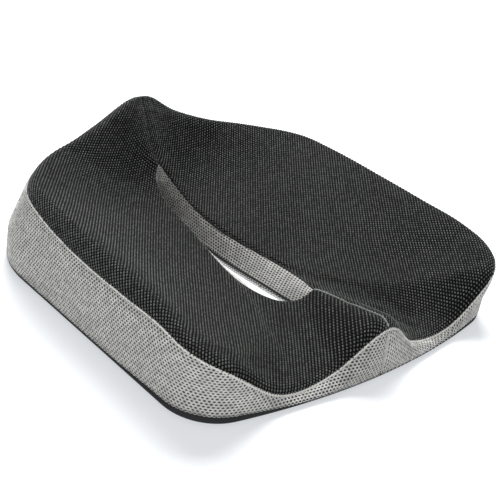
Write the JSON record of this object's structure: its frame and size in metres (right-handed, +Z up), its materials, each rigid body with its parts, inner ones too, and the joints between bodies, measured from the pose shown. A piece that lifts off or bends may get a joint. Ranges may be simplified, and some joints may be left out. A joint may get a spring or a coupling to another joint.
{
  "type": "seat cushion",
  "caption": "Moulded foam seat cushion with a raised back and side rims, a centre slot and a zip-off spacer mesh cover.",
  "frame": {"origin": "middle of the underside, on the surface the cushion lies on", "axes": "+Z up, the sitter faces -Y, +X is the sitter's left; the cushion is mirrored about the plane x = 0"},
  "size_m": [0.4506, 0.449, 0.1385],
  "materials": {
    "charcoal_mesh": "ribbed spacer mesh, matt",
    "grey_mesh": "perforated spacer mesh, soft sheen",
    "pale_edge": "knitted edge",
    "grip_fabric": "close woven, with grip dots",
    "liner_knit": "fine knit",
    "foam": "open-cell memory foam",
    "zip_tape": "woven tape",
    "zip_coil": "nylon coil",
    "zip_metal": "black enamelled die casting"
  },
  "bodies": {
    "cushion": {"foam_core": "foam", "inner_liner": "liner_knit", "bottom_panel": "grip_fabric", "slot_lining": "grey_mesh", "top_panel_left": "charcoal_mesh", "top_panel_right": "charcoal_mesh", "side_band_left": "grey_mesh", "side_band_right": "grey_mesh", "top_edge_tape": "pale_edge", "slot_top_seam": "charcoal_mesh", "slot_bottom_binding": "grip_fabric", "top_seam_front": "charcoal_mesh", "top_seam_back": "charcoal_mesh", "band_seam_front": "grey_mesh", "band_seam_back": "grey_mesh", "zip_tape_upper": "zip_tape", "zip_tape_lower": "zip_tape", "zip_chain": "zip_coil", "zip_stop_left": "zip_metal", "zip_stop_right": "zip_metal"},
    "zip_slider": {"zip_slider": "zip_metal"},
    "zip_pull": {"zip_pull": "zip_metal"}
  },
  "joints": [
    {"name": "zip_run", "type": "hinge", "parent": "cushion", "child": "zip_slider", "pos_m": [0, -0.298, 0.021], "axis": [0, 0, 1], "range_deg": [0, 25.1]},
    {"name": "pull_flip", "type": "hinge", "parent": "zip_slider", "child": "zip_pull", "pos_m": [0.11471, 0.21498, 0.021], "axis": [0, 0, 1], "range_deg": [-175, 0]}
  ]
}
